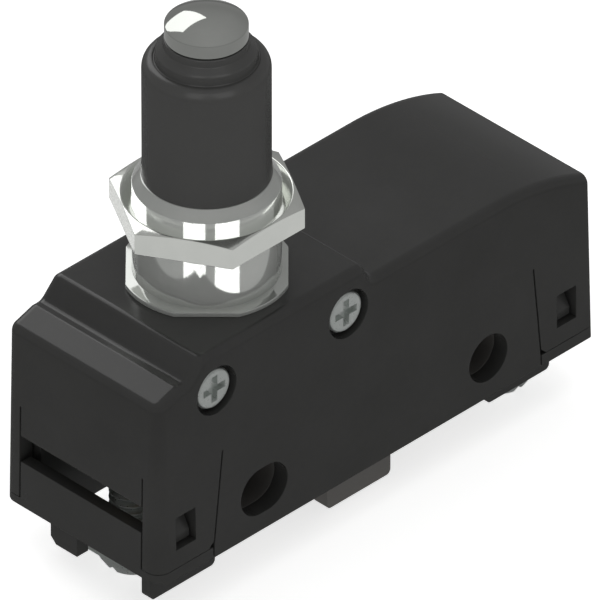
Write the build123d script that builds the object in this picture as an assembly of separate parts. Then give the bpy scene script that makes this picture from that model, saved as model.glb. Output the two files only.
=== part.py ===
from build123d import *
import math
import os

# Snap-action switch with a threaded plunger head, screw terminals and snap-on terminal covers.
# Millimetres. The shapes are laid out from the plunger's axis, with Z = 0 on the top platform
# where the head's flange sits. The finished part is moved so that its origin is the centre of
# the round mounting hole. +X runs along the housing, +Y across it and +Z towards the plunger.

# Mounting holes, which run across the housing
hole_pitch = 25.4
hole_d = 4.35
slot_extra = 0.9
hole_above_edge = 3.8
plunger_from_slot = 2.3

# Housing
half_width = 8.85
left_reach = 14.3
right_reach = 35.0
platform_height = 19.7
draft = 1.0
corner_r = 1.3
right_corner_r = 0.3
inner_corner_r = 0.2
wall = 1.5
top_wall = 1.6
edge_round = 0.8
hollow_step = 0.3
hollow_rise = 1.0

# Small allowances: how far a cutter runs past what it cuts, and how deep joined shapes overlap
spare = 1.0
overlap = 0.1

# Top of the housing, seen from the side
platform_left = 8.9
platform_right = 9.3
shoulder_drop = 1.7
step_run_left = 1.6
step_run_right = 0.9
step_round = 0.8
platform_round = 0.6
left_slope_start = 11.4
left_edge_drop = 2.5
end_lean_in = 0.5
slope_round = 0.5
right_flat_end = 24.5
right_end_drop = 3.95
right_crown_r = 25.0
crown_middle_share = 0.24

# Corner legs of the housing, cut free by slits
slit = 0.16
slit_top = 9.8
leg_drop = 18.6
slit_depth = 2.7
slit_lean = 1.15
left_slit_inset = 6.2
left_slit_foot_x = left_reach - left_slit_inset
left_slit_top_x = left_slit_foot_x - slit_lean
right_slit_top_x = 28.4
right_slit_foot_x = 29.2
leg_width = 1.85
leg_inner_y = half_width - leg_width
leg_chamfer = 0.45
leg_seam = 0.06
entry_top = 12.6
end_opening_past = 0.6
entry_bottom = 15.1

# Snap windows in the legs
window_top = 13.75
window_bottom = 16.9
window_width = 2.2
left_window_inset = 3.2
right_window_inset = 2.95
tooth_reach = 0.9
tooth_gap = 0.15
tooth_root = 0.3
tooth_land = 0.73

# Terminal covers
cover_gap = 0.05
cover_end_gap = 0.3
cover_wall = 1.04
cover_end_wall = 1.2
cover_foot_drop = 21.9
left_foot_inset = 0.7
back_foot_inset = 2.6
back_foot_past = 2.7
back_foot_gap = 0.05
right_foot_inset = 3.4
cover_foot_round = 0.45
cover_inner_top = 13.2
end_plate_drop = 19.4
left_cover_length = 7.9
right_cover_length = 10.55
cover_root_gap = 0.4
liner_corner_r = 0.2
plate_lap = 0.5
end_foot_y = 2.6
end_foot_width = 3.0
end_foot_depth = 1.25
end_foot_chamfer = 0.6

# Contact base
base_top = 12.4
base_right = 27.6
base_corner_r = 0.4
tab_left = 6.25
tab_length = 7.2
tab_drop = 23.1
tab_thickness = 1.47
tab_round = 0.45
pocket_depth = 5.6
pocket_wall = 1.6
pocket_side_gap = 0.3
pocket_rib = 1.2
tab_lap = 0.5

# Side screws
screw_spacing = 14.8
screw_drop = 3.72
screw_head_d = 3.65
screw_head_height = 0.75
screw_sink = 0.27
screw_shank_d = 2.0
screw_hole_gap = 0.1
screw_rim_share = 0.35
screw_length = 11.0
counterbore_d = 4.4
recess_span = 2.6
recess_width = 0.7
recess_depth = 0.5
thread_gap = 0.02

# Head bracket
bracket_half_length = 5.8
bracket_side_gap = 0.45
bracket_web_share = 0.75
bracket_top = 1.75
bracket_bottom = 5.4
bracket_ear_r = 1.6

# Bushing
flange_d = 14.0
flange_flats = 13.0
flange_height = 0.44
barrel_d = 12.0
barrel_top = 8.77
nose_top = 9.66
nose_r = 5.3
shank_d = 10.0
shank_depth = 5.3
shank_round = 0.3
flange_round = 0.1
barrel_round = 0.25
nose_round = 0.35
bore_d = 7.0
bore_floor = 3.6
shank_gap = 0.05

# Lock nut
nut_flats = 14.0
nut_bottom = 5.63
nut_height = 1.97
nut_countersink_d = 13.0
nut_chamfer_d = 14.3
nut_chamfer_angle = 30.0
nut_trim = 0.01
nut_gap = 0.03

# Plunger: cap and piston
cap_r = 3.37
cap_bottom = 22.8
cap_side_top = 24.0
cap_top = 24.95
cap_edge = 0.12
stem_r = 1.5
stem_length = 7.0
stem_floor_gap = 0.3
piston_bottom = 4.0
piston_shoulder = 9.0
neck_r = 3.0
running_gap = 0.05
spring_bore_r = 2.1
spring_bore_top = 12.0

# Piston seal
seal_section_d = 0.7
seal_z = 7.0

# Boot
boot_foot_r = 5.29
boot_body_r = 5.19
boot_step_z = 20.75
boot_shoulder_round = 0.64
boot_bead_r = 4.4
boot_top_r = 3.55
boot_top = 22.7
boot_foot_height = 1.2
boot_groove = 0.13
boot_bead_lean = 0.05
boot_bead_round = 0.7
boot_top_round = 0.3
boot_inner_slope = 0.6
boot_wall = 1.3
boot_seat_gap = 0.02
boot_neck_gap = 0.1

# Springs
return_wire_d = 0.6
return_turns = 4.5
overtravel_wire_d = 0.5
overtravel_turns = 6
spring_seat_gap = 0.05
return_side_gap = 0.15
overtravel_side_gap = 0.1

# Actuator pin
pin_r = 1.2
pin_head_r = 2.02
pin_head_bottom = 4.2
pin_head_top = 5.0
pin_guide_r = 1.1
pin_guide_top = 6.4
pin_tip_round = 0.5
pin_guide_round = 0.3
pin_travel = 0.5
pin_blade_gap = 0.3

# Snap blade, which pivots on the anchor's knife edge
blade_top = 8.35
blade_thickness = 0.25
blade_width = 4.4
blade_tail = 0.55
blade_tip = 1.5
pivot_inset = 2.95
blade_tip_share = 0.6
blade_seat_gap = 0.1
tongue_width = 1.6
tongue_start = 6.0
tongue_end = 17.0
tongue_slot = 0.35

# Contacts
contact_x = 22.5
contact_r = 1.5
contact_head = 0.6
contact_shank_r = 0.8
contact_gap = 0.15
rivet_gap = 0.05
rivet_stand = 0.2

# Terminals
strip_thickness = 0.8
common_inset = 1.9
common_lap = 1.6
common_half_width = 3.3
closed_arm_drop = 7.0
closed_leg_x = 26.2
terminal_inner_y = 0.7
terminal_side_gap = 0.56
terminal_right = 32.3
arm_left = 20.5
arm_half_width = 2.0
open_jog_x = 25.0

# Blade anchor
anchor_thickness = 0.5
anchor_foot = 1.1
anchor_half_width = 2.2
knife_half = 0.06

# Terminal screws and clamp plates
common_screw_inset = 5.9
right_screw_x = 29.9
clamp_screw_r = 1.95
clamp_head_gap = 0.3
clamp_head_bevel = 0.7
clamp_head_height = 1.95
clamp_head_share = 0.55
clamp_head_round = 0.4
clamp_head_drop = 22.3
clamp_thread_gap = 0.05
clamp_length = 11.3
clamp_slot_width = 0.9
clamp_slot_depth = 0.9
plate_half_x = 3.45
plate_side_gap = 0.26
plate_middle_gap = 0.4
plate_thickness = 0.8
plate_lip = 0.5
plate_seat_gap = 0.02
plate_hole_gap = 0.1

# Worked-out levels and places
edge_z = -platform_height
hole_z = edge_z + hole_above_edge
hole_r = hole_d / 2
slot_x = -plunger_from_slot
round_x = slot_x + hole_pitch
lean = math.tan(math.radians(draft))
inner_half = half_width - wall
bay_half = inner_half - cover_gap - cover_wall
bracket_half_width = inner_half - bracket_side_gap
left_cover_x = left_cover_length - left_reach
right_cover_x = right_reach - right_cover_length
left_window_x = left_window_inset - left_reach
right_window_x = right_reach - right_window_inset
base_left = left_cover_x + cover_root_gap
common_left = common_inset - left_reach
common_right = base_left + common_lap
common_screw_x = common_screw_inset - left_reach
terminal_outer_y = bay_half - terminal_side_gap
plate_half_y = (bay_half - plate_side_gap - plate_middle_gap) / 2
right_screw_y = plate_middle_gap + plate_half_y
clamp_head_r = right_screw_y - clamp_head_gap
screw_z = -screw_drop
screw_x = screw_spacing / 2
base_z = -base_top
blade_z = -blade_top
blade_pivot_x = pivot_inset - left_reach
blade_left = blade_pivot_x - blade_tail
blade_right = contact_x + blade_tip
blade_under = blade_z - blade_thickness
blade_angle = math.degrees(pin_travel / -blade_pivot_x)
contact_travel = (contact_x - blade_pivot_x) * math.sin(math.radians(blade_angle))


def outer_half(z):
    """Half the housing's width at a height, where its sides lean in by the draft."""
    return half_width - (z - edge_z) * lean


def block(x0, x1, y0, y1, z0, z1):
    """A plain box between two corners."""
    middle = Pos((x0 + x1) / 2, (y0 + y1) / 2, (z0 + z1) / 2)
    return middle * Box(x1 - x0, y1 - y0, z1 - z0)


def drafted(x0, x1, half, z0, z1, corner):
    """A block with round corners whose walls lean in as they rise."""
    outline = RectangleRounded(x1 - x0, 2 * half, corner)
    return extrude(Pos((x0 + x1) / 2, 0, z0) * outline, z1 - z0, taper=draft)


def outer_form():
    """The housing's outer walls, round at the left corners and still square at the right."""
    outline = Rectangle(left_reach + right_reach, 2 * half_width)
    outline = fillet(outline.vertices().group_by(Axis.X)[0], corner_r)
    middle = Pos((right_reach - left_reach) / 2, 0, edge_z)
    return extrude(middle * outline, spare - edge_z, taper=draft)


def round_right_corners(body):
    """The body with the upright edges of its right end rounded."""
    upright = body.edges().filter_by(
        lambda e: e.center().X > right_reach - spare
        and abs(e.center().Y) > half_width - spare
        and e.center().Z < -right_end_drop - edge_round
    )
    return fillet(upright, right_corner_r)


def rod_y(x, z, radius, y0, y1):
    """A round bar that runs across the part."""
    middle = Pos(x, (y0 + y1) / 2, z)
    return middle * Rot(90, 0, 0) * Cylinder(radius, y1 - y0)


def rod_z(x, y, radius, z0, z1):
    """A round bar that stands upright."""
    return Pos(x, y, (z0 + z1) / 2) * Cylinder(radius, z1 - z0)


def turned(points, radii=None):
    """A turned piece from half its section, as radius and height points."""
    if radii is None:
        radii = [0] * len(points)
    wire = FilletPolyline(*points, radius=radii, close=True)
    return revolve(Plane.XZ * make_face(wire), Axis.Z)


def mirrored_y(shape):
    """The same shape on the other side of the middle plane."""
    return mirror(shape, Plane.XZ)


def obround_y(x, z, radius, extra, y0, y1):
    """A slot-shaped bar that runs across the part, longer along X by extra."""
    outline = Plane.XZ * Pos(x, z) * SlotCenterToCenter(extra, 2 * radius)
    return Pos(0, y1, 0) * extrude(outline, y1 - y0)


def top_profile():
    """The housing's outline from the side: sloped end, platform, step and long crown."""
    left = -left_reach - spare
    right = right_reach + spare
    low = edge_z - spare
    slope = (left_edge_drop - shoulder_drop) / (left_reach - end_lean_in - left_slope_start)
    left_z = -shoulder_drop - slope * (left_reach + spare - left_slope_start)
    run = right - right_flat_end
    fall = right_crown_r - math.sqrt(right_crown_r**2 - run**2)
    crown = ThreePointArc(
        (right_flat_end, -shoulder_drop),
        (right_flat_end + run / 2, -shoulder_drop - fall * crown_middle_share),
        (right, -shoulder_drop - fall),
    )
    steps = FilletPolyline(
        (left, left_z),
        (-left_slope_start, -shoulder_drop),
        (-platform_left - step_run_left, -shoulder_drop),
        (-platform_left, 0),
        (platform_right, 0),
        (platform_right + step_run_right, -shoulder_drop),
        (right_flat_end, -shoulder_drop),
        radius=[slope_round, step_round, step_round, platform_round, step_round],
    )
    rest = Polyline((right, -shoulder_drop - fall), (right, low), (left, low), (left, left_z))
    return Plane.XZ * make_face(steps.edges() + crown.edges() + rest.edges())


def hollow_profile():
    """The side view of the hollow, one wall inside the top."""
    ceiling = -shoulder_drop - top_wall
    platform = -top_wall
    left = -left_reach + top_wall
    right = right_reach - top_wall
    points = [
        (left, edge_z - spare),
        (left, -left_edge_drop - top_wall),
        (-left_slope_start, ceiling),
        (-platform_left - hollow_step, ceiling),
        (-platform_left - hollow_step, platform - hollow_rise),
        (-platform_left + hollow_rise, platform),
        (platform_right - hollow_rise, platform),
        (platform_right, ceiling),
        (right_flat_end, ceiling),
        (right, -right_end_drop - wall),
        (right, edge_z - spare),
    ]
    return Plane.XZ * make_face(Polyline(*points, close=True))


def leg_slit(top_x, foot_x, side):
    """The slanted slit that frees a leg from the side wall."""
    y0 = side * (half_width - slit_depth)
    y1 = side * (half_width + spare)
    wire = Polyline(
        (top_x, -slit_top),
        (top_x + slit, -slit_top),
        (foot_x + slit, -leg_drop - overlap),
        (foot_x, -leg_drop - overlap),
        close=True,
    )
    face = Plane.XZ * make_face(wire)
    cutter = extrude(face, half_width * 2, both=True)
    reach = 2 * right_reach
    return cutter & block(-reach, reach, *span(y0, y1), -reach, reach)


def end_opening(end_x, inward):
    """Wire entry, cover opening and slits through an end wall."""
    x0, x1 = span(end_x - inward * spare, end_x + inward * (wall + end_opening_past))
    opening = block(x0, x1, -leg_inner_y, leg_inner_y, edge_z - spare, -entry_top)
    for side in (-1, 1):
        y = side * (leg_inner_y - slit / 2)
        opening += block(x0, x1, y - slit / 2, y + slit / 2, -entry_top - overlap, -slit_top)
    return opening


def leg_foot_cut(slit_foot_x, end_x):
    """The space under the legs of one end, where the cover's lip lies, and the leg's chamfer."""
    towards = math.copysign(1, end_x - slit_foot_x)
    wall_edge = slit_foot_x - towards * slit
    low = -leg_drop - overlap
    half = half_width + spare
    cut = block(*span(wall_edge, end_x), -half, half, edge_z - spare, -leg_drop)
    outline = Polyline(
        (wall_edge, low),
        (slit_foot_x + towards * leg_chamfer, low),
        (slit_foot_x + towards * leg_chamfer, -leg_drop),
        (slit_foot_x, -leg_drop + leg_chamfer),
        (wall_edge, -leg_drop + leg_chamfer),
        close=True,
    )
    return cut + extrude(Plane.XZ * make_face(outline), half, both=True)


def window(x):
    """Snap windows through both side walls."""
    x0 = x - window_width / 2
    x1 = x + window_width / 2
    half = half_width + spare
    return block(x0, x1, -half, half, -window_bottom, -window_top)


def make_housing():
    """The black moulded shell, open underneath, with sprung legs at its corners."""
    body = outer_form()
    body &= extrude(top_profile(), half_width + spare, both=True)
    top_edges = body.edges().filter_by(lambda e: e.center().Z > -right_end_drop - edge_round)
    top_edges = top_edges.filter_by(lambda e: abs(e.center().Y) > half_width - corner_r)
    body = round_right_corners(fillet(top_edges, edge_round))
    hollow = drafted(
        -left_reach + wall, right_reach - wall, inner_half, edge_z, spare, inner_corner_r
    )
    hollow = hollow & extrude(hollow_profile(), half_width, both=True)
    body -= hollow
    body -= rod_z(0, 0, shank_d / 2 + shank_gap, -wall - spare, spare)
    through = half_width + spare
    body -= rod_y(round_x, hole_z, hole_r, -through, through)
    body -= obround_y(slot_x, hole_z, hole_r, slot_extra, -through, through)
    for x in (-screw_x, screw_x):
        face_y = -outer_half(screw_z)
        seat_y = face_y + screw_sink + screw_head_height
        body -= rod_y(x, screw_z, counterbore_d / 2, -through, seat_y)
        body -= rod_y(x, screw_z, screw_shank_d / 2 + screw_hole_gap, -through, -inner_half + wall)
    for side in (-1, 1):
        body -= leg_slit(-left_slit_top_x, -left_slit_foot_x, side)
        body -= leg_slit(right_slit_top_x - slit, right_slit_foot_x - slit, side)
    body -= end_opening(-left_reach, 1)
    body -= end_opening(right_reach, -1)
    body -= leg_foot_cut(-left_slit_foot_x, -left_reach - spare)
    body -= leg_foot_cut(right_slit_foot_x, right_reach + spare)
    body -= window(left_window_x)
    body -= window(right_window_x)
    return body


def snap_tooth(x, side):
    """The wedge of a cover that springs out into a housing window."""
    half = window_width / 2 - tooth_gap
    root_y = inner_half - cover_gap
    low = -window_bottom + tooth_gap
    top = -window_top - tooth_gap
    outline = Polyline(
        (root_y - tooth_root, low),
        (root_y + tooth_reach, low),
        (root_y + tooth_reach, low + tooth_land),
        (root_y - tooth_root, top),
        close=True,
    )
    wedge = Pos(x, 0, 0) * extrude(Plane.YZ * make_face(outline), half, both=True)
    return wedge if side > 0 else mirrored_y(wedge)


def span(a, b):
    """Two values in rising order."""
    return (a, b) if a < b else (b, a)


def cover_foot(foot_x, wall_y):
    """One of a cover's two long feet, with round lower ends."""
    foot = block(*foot_x, *wall_y, -cover_foot_drop, edge_z)
    low_ends = foot.edges().filter_by(Axis.Y).group_by(Axis.Z)[0]
    return fillet(low_ends, cover_foot_round)


def make_cover(end_x, inward, foot_x, wall_x, lip_x, window_x):
    """A terminal cover: end plate, two snap walls, lips under the legs and two feet."""
    shell = round_right_corners(outer_form())
    wall_out = inner_half - cover_gap
    wall_in = bay_half
    liner = drafted(-right_reach, right_reach, wall_out, edge_z, spare, liner_corner_r)
    plate_x = span(end_x, end_x + inward * cover_end_wall)
    clear_x = span(end_x + inward * (wall + cover_end_gap), wall_x)
    lip_span = span(end_x, lip_x)
    lip_top = -leg_drop - leg_seam
    plate_half = leg_inner_y - slit
    cover = shell & block(*plate_x, -plate_half, plate_half, -end_plate_drop, -entry_bottom)
    for side in (-1, 1):
        wall_y = span(side * wall_in, side * wall_out)
        lip_y = span(side * wall_in, side * (half_width + spare))
        cover += liner & block(*clear_x, *wall_y, edge_z, -cover_inner_top)
        cover += cover_foot(foot_x[side > 0], wall_y)
        cover += shell & block(*lip_span, *lip_y, edge_z, lip_top)
        cover += snap_tooth(window_x, side)
    return cover


def end_foot():
    """The small foot under the left cover's end plate."""
    x0 = -left_reach + left_foot_inset
    foot = block(
        x0, x0 + end_foot_depth,
        end_foot_y - end_foot_width / 2, end_foot_y + end_foot_width / 2,
        -cover_foot_drop, -end_plate_drop + plate_lap,
    )
    low = foot.edges().filter_by(Axis.X).group_by(Axis.Z)[0].sort_by(Axis.Y)[-1]
    return chamfer(low, end_foot_chamfer)


def make_left_cover():
    """The cover of the common terminal."""
    feet_x = (
        (left_foot_inset - left_reach, left_cover_x),
        (back_foot_inset - left_reach, left_cover_x),
    )
    cover = make_cover(-left_reach, 1, feet_x, left_cover_x, -left_slit_foot_x, left_window_x)
    reach = half_width + spare
    cover -= block(
        -left_reach - spare, left_foot_inset - left_reach, -reach, reach,
        edge_z - spare, -end_plate_drop,
    )
    half = inner_half - cover_gap
    past = block(
        left_cover_x - plate_lap, left_cover_x + back_foot_past, half - cover_wall, half,
        -cover_foot_drop, edge_z - back_foot_gap,
    )
    return cover + past + end_foot()


def make_right_cover():
    """The cover of the two switched terminals."""
    wall_x = right_slit_foot_x - cover_root_gap
    foot_x = (right_cover_x, right_reach - right_foot_inset)
    return make_cover(
        right_reach, -1, (foot_x, foot_x), wall_x, right_slit_foot_x, right_window_x
    )


def make_base():
    """The inner block that carries the mounting holes, the terminals and the middle tabs."""
    half = inner_half - cover_gap
    body = drafted(base_left, base_right, half, edge_z, base_z, base_corner_r)
    for side in (-1, 1):
        tab_y = span(side * (half - tab_thickness), side * half)
        tab = block(tab_left, tab_left + tab_length, *tab_y, -tab_drop, edge_z + tab_lap)
        low = tab.edges().filter_by(Axis.Y).group_by(Axis.Z)[0]
        body += fillet(low, tab_round)
    body -= rod_y(round_x, hole_z, hole_r, -half_width, half_width)
    body -= obround_y(slot_x, hole_z, hole_r, slot_extra, -half_width, half_width)
    pocket_left = slot_x + hole_r + slot_extra / 2 + pocket_wall
    pocket_right = round_x - hole_r - pocket_wall
    pocket_half = half - tab_thickness - pocket_side_gap
    middle = (pocket_left + pocket_right) / 2
    rib = pocket_rib / 2
    for x0, x1 in ((pocket_left, middle - rib), (middle + rib, pocket_right)):
        body -= block(x0, x1, -pocket_half, pocket_half, edge_z - spare, edge_z + pocket_depth)
    return body


def make_bracket():
    """The carrier under the platform that the side screws hold and the bushing stands in."""
    half = bracket_half_width
    body = block(-bracket_half_length, bracket_half_length, -half, half, -bracket_bottom, -bracket_top)
    web = bracket_ear_r * bracket_web_share
    for x in (-screw_x, screw_x):
        body += rod_y(x, screw_z, bracket_ear_r, -half, half)
        body += block(*span(0, x), -half, half, screw_z - web, screw_z + web)
    for x in (-screw_x, screw_x):
        body -= rod_y(x, screw_z, screw_shank_d / 2 + thread_gap, -half - spare, half + spare)
    body -= rod_z(0, 0, shank_d / 2 + thread_gap, -bracket_bottom - spare, 0)
    return body


def make_side_screw(x):
    """A pan-head screw with a cross recess, sunk a little in the housing's side."""
    face_y = -outer_half(screw_z) + screw_sink
    seat_y = face_y + screw_head_height
    head = rod_y(x, screw_z, screw_head_d / 2, face_y, seat_y)
    rim = head.edges().filter_by(GeomType.CIRCLE).group_by(Axis.Y)[0]
    head = fillet(rim, screw_head_height * screw_rim_share)
    for width, height in ((recess_span, recess_width), (recess_width, recess_span)):
        head -= block(
            x - width / 2, x + width / 2, face_y - spare, face_y + recess_depth,
            screw_z - height / 2, screw_z + height / 2,
        )
    return head + rod_y(x, screw_z, screw_shank_d / 2, seat_y, seat_y + screw_length)


def make_bushing():
    """The turned and threaded head: flange with flats, barrel, nose and shank."""
    body = turned(
        [
            (0, -shank_depth),
            (shank_d / 2, -shank_depth),
            (shank_d / 2, 0),
            (flange_d / 2, 0),
            (flange_d / 2, flange_height),
            (barrel_d / 2, flange_height),
            (barrel_d / 2, barrel_top),
            (nose_r, nose_top),
            (0, nose_top),
        ],
        [0, shank_round, 0, 0, flange_round, 0, barrel_round, nose_round, 0],
    )
    keep = Rot(0, 0, 45) * Pos(0, 0, flange_height / 2) * Box(
        flange_flats, flange_flats, flange_height
    )
    upper = rod_z(0, 0, barrel_d / 2, flange_height / 2, nose_top)
    lower = rod_z(0, 0, shank_d / 2, -shank_depth, 0)
    body &= keep + upper + lower
    body -= rod_z(0, 0, bore_d / 2, -bore_floor, nose_top + spare)
    body -= rod_z(0, 0, pin_r + running_gap, -shank_depth - spare, 0)
    return body


def make_nut():
    """A hexagon nut with both faces chamfered and the bore countersunk."""
    top = nut_bottom + nut_height
    hexagon = RegularPolygon(nut_flats / 2, 6, major_radius=False, rotation=0)
    body = extrude(Pos(0, 0, nut_bottom) * hexagon, nut_height)
    corner = nut_flats / math.sqrt(3)
    drop = (corner - nut_chamfer_d / 2) * math.tan(math.radians(nut_chamfer_angle))
    outside = corner + nut_trim
    cone = turned(
        [
            (0, nut_bottom),
            (nut_chamfer_d / 2, nut_bottom),
            (outside, nut_bottom + drop),
            (outside, top - drop),
            (nut_chamfer_d / 2, top),
            (0, top),
        ]
    )
    bore = barrel_d / 2 + nut_gap
    sink = nut_countersink_d / 2
    hole = turned(
        [
            (0, nut_bottom - nut_trim),
            (sink, nut_bottom - nut_trim),
            (bore, nut_bottom + sink - bore),
            (bore, top - sink + bore),
            (sink, top + nut_trim),
            (0, top + nut_trim),
        ]
    )
    return (body & cone) - hole


def make_boot():
    """The rubber sleeve: straight body, round shoulder, groove and bead under the cap."""
    inner = boot_body_r - boot_wall
    neck = neck_r + boot_neck_gap
    return turned(
        [
            (inner, nose_top + boot_seat_gap),
            (boot_foot_r, nose_top + boot_seat_gap),
            (boot_body_r, nose_top + boot_foot_height),
            (boot_body_r, boot_step_z),
            (boot_bead_r + boot_groove, boot_step_z),
            (boot_bead_r, boot_step_z - boot_groove),
            (boot_bead_r - boot_groove, boot_step_z),
            (boot_bead_r - boot_bead_lean, boot_top - boot_bead_round),
            (boot_top_r, boot_top),
            (neck, boot_top),
            (neck, boot_step_z - boot_wall),
            (inner, boot_step_z - boot_wall - boot_inner_slope),
        ],
        [0, 0, 0, boot_shoulder_round, 0, 0, 0, boot_bead_round, boot_top_round, 0, 0, 0],
    )


def make_cap():
    """The polished button of the plunger, with its stem."""
    crown = cap_top - cap_side_top
    radius = (cap_r**2 + crown**2) / (2 * crown)
    bottom = cap_bottom - stem_length
    side = Polyline(
        (0, cap_top),
        (0, bottom),
        (stem_r, bottom),
        (stem_r, cap_bottom),
        (cap_r, cap_bottom),
        (cap_r, cap_side_top),
    )
    dome = RadiusArc((cap_r, cap_side_top), (0, cap_top), -radius)
    body = revolve(Plane.XZ * make_face(side.edges() + dome.edges()), Axis.Z)
    rim = body.edges().filter_by(GeomType.CIRCLE).filter_by(
        lambda e: abs(e.center().Z - cap_side_top) < cap_edge
    )
    return fillet(rim, cap_edge)


def make_piston():
    """The sliding core: it fills the bushing's bore and carries the cap on its neck."""
    outer = bore_d / 2 - running_gap
    groove = seal_section_d / 2 + thread_gap
    body = turned(
        [
            (0, piston_bottom),
            (outer, piston_bottom),
            (outer, piston_shoulder),
            (neck_r, piston_shoulder),
            (neck_r, cap_bottom),
            (0, cap_bottom),
        ]
    )
    body -= rod_z(0, 0, spring_bore_r, piston_bottom - spare, spring_bore_top)
    stem_floor = cap_bottom - stem_length - stem_floor_gap
    body -= rod_z(0, 0, stem_r + thread_gap, stem_floor, cap_bottom + spare)
    ring = rod_z(0, 0, outer + spare, seal_z - groove, seal_z + groove)
    ring -= rod_z(0, 0, outer - seal_section_d, seal_z - spare, seal_z + spare)
    return body - ring


def make_seal():
    """The ring that seals the piston in its bore."""
    outer = bore_d / 2 - running_gap
    return Pos(0, 0, seal_z) * Torus(outer - seal_section_d / 2, seal_section_d / 2)


def make_spring(radius, wire_d, turns, low, high):
    """A coil of round wire between two seats."""
    height = high - low - wire_d
    path = Pos(0, 0, low + wire_d / 2) * Helix(height / turns, height, radius)
    start = Plane(path @ 0, z_dir=path % 0)
    return sweep(start * Circle(wire_d / 2), path)


def make_return_spring():
    """The spring that lifts the piston, standing on the bushing's inner floor."""
    radius = bore_d / 2 - return_wire_d / 2 - return_side_gap
    low = -bore_floor + spring_seat_gap
    return make_spring(radius, return_wire_d, return_turns, low, piston_bottom - spring_seat_gap)


def make_overtravel_spring():
    """The spring in the piston that pushes the actuator pin."""
    radius = spring_bore_r - overtravel_wire_d / 2 - overtravel_side_gap
    low = pin_head_top + spring_seat_gap
    high = spring_bore_top - spring_seat_gap
    return make_spring(radius, overtravel_wire_d, overtravel_turns, low, high)


def make_pin():
    """The actuator pin that hands the plunger's push down to the snap blade."""
    tip = blade_z + pin_blade_gap
    return turned(
        [
            (0, tip),
            (pin_r, tip),
            (pin_r, pin_head_bottom),
            (pin_head_r, pin_head_bottom),
            (pin_head_r, pin_head_top),
            (pin_guide_r, pin_head_top),
            (pin_guide_r, pin_guide_top),
            (0, pin_guide_top),
        ],
        [0, pin_tip_round, 0, 0, 0, 0, pin_guide_round, 0],
    )


def make_blade():
    """The snap blade: a thin strip with a tongue cut free in its middle."""
    half = blade_width / 2
    low = blade_under - spare
    high = blade_z + spare
    body = block(blade_left, blade_right, -half, half, blade_under, blade_z)
    corners = body.edges().filter_by(Axis.Z).group_by(Axis.X)[-1]
    body = fillet(corners, half * blade_tip_share)
    for side in (-1, 1):
        slot_y = span(side * tongue_width / 2, side * (tongue_width / 2 + tongue_slot))
        body -= block(tongue_start, tongue_end, *slot_y, low, high)
    cut_y = tongue_width / 2
    body -= block(tongue_end - tongue_slot, tongue_end, -cut_y, cut_y, low, high)
    return body - rod_z(contact_x, 0, contact_shank_r + rivet_gap, low, high)


def button(x, z0, z1, shank_low, shank_high):
    """A contact rivet: a round head between two heights and its shank."""
    return rod_z(x, 0, contact_r, z0, z1) + rod_z(x, 0, contact_shank_r, shank_low, shank_high)


def make_moving_contact():
    """The double-faced contact in the blade's free end."""
    body = button(contact_x, blade_z, blade_z + contact_head, blade_under, blade_z)
    return body + rod_z(contact_x, 0, contact_r, blade_under - contact_head, blade_under)


def make_closed_contact():
    """The fixed contact that the blade rests against."""
    face = blade_z + contact_head + contact_gap
    arm_low = -closed_arm_drop
    return button(contact_x, face, arm_low, arm_low, arm_low + strip_thickness + rivet_stand)


def make_open_contact():
    """The fixed contact that the blade drops on."""
    face = blade_under - contact_head - contact_travel - contact_gap
    strip_top = base_z + strip_thickness
    return button(contact_x, strip_top, face, base_z, strip_top)


def make_common_terminal():
    """The strip at the left end, tapped for its clamp screw."""
    half = common_half_width
    body = block(common_left, common_right, -half, half, base_z, base_z + strip_thickness)
    return body - rod_z(common_screw_x, 0, clamp_screw_r + clamp_thread_gap, edge_z, 0)


def make_anchor():
    """The bent foot on the common terminal whose upright edge carries the blade."""
    half = anchor_half_width
    foot_z = base_z + strip_thickness
    x0 = blade_pivot_x - anchor_thickness / 2
    x1 = blade_pivot_x + anchor_thickness / 2
    top = blade_under - blade_seat_gap
    foot = block(x0, x0 + anchor_foot, -half, half, foot_z, foot_z + anchor_thickness)
    wedge = Polyline(
        (x0, foot_z),
        (x1, foot_z),
        (x1, top - anchor_thickness / 2),
        (blade_pivot_x + knife_half, top),
        (blade_pivot_x - knife_half, top),
        (x0, top - anchor_thickness / 2),
        close=True,
    )
    return foot + extrude(Plane.XZ * make_face(wedge), half, both=True)


def tapped(body, y):
    """A right-hand terminal strip with the hole for its clamp screw."""
    return body - rod_z(right_screw_x, y, clamp_screw_r + clamp_thread_gap, edge_z, 0)


def make_closed_terminal():
    """The terminal whose arm rises over the blade."""
    low = base_z
    arm_low = -closed_arm_drop
    arm_high = arm_low + strip_thickness
    leg_x1 = closed_leg_x + strip_thickness
    outer = -terminal_outer_y
    body = block(closed_leg_x, terminal_right, outer, -terminal_inner_y, low, low + strip_thickness)
    body += block(closed_leg_x, leg_x1, outer, -terminal_inner_y, low, arm_high)
    body += block(arm_left, leg_x1, outer, arm_half_width, arm_low, arm_high)
    body -= rod_z(contact_x, 0, contact_shank_r + rivet_gap, arm_low - spare, arm_high + spare)
    return tapped(body, -right_screw_y)


def make_open_terminal():
    """The terminal whose arm lies on the base under the blade."""
    low = base_z
    high = low + strip_thickness
    body = block(arm_left, open_jog_x, -arm_half_width, terminal_outer_y, low, high)
    body += block(open_jog_x, terminal_right, terminal_inner_y, terminal_outer_y, low, high)
    body -= rod_z(contact_x, 0, contact_shank_r + rivet_gap, low - spare, high + spare)
    return tapped(body, right_screw_y)


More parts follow.
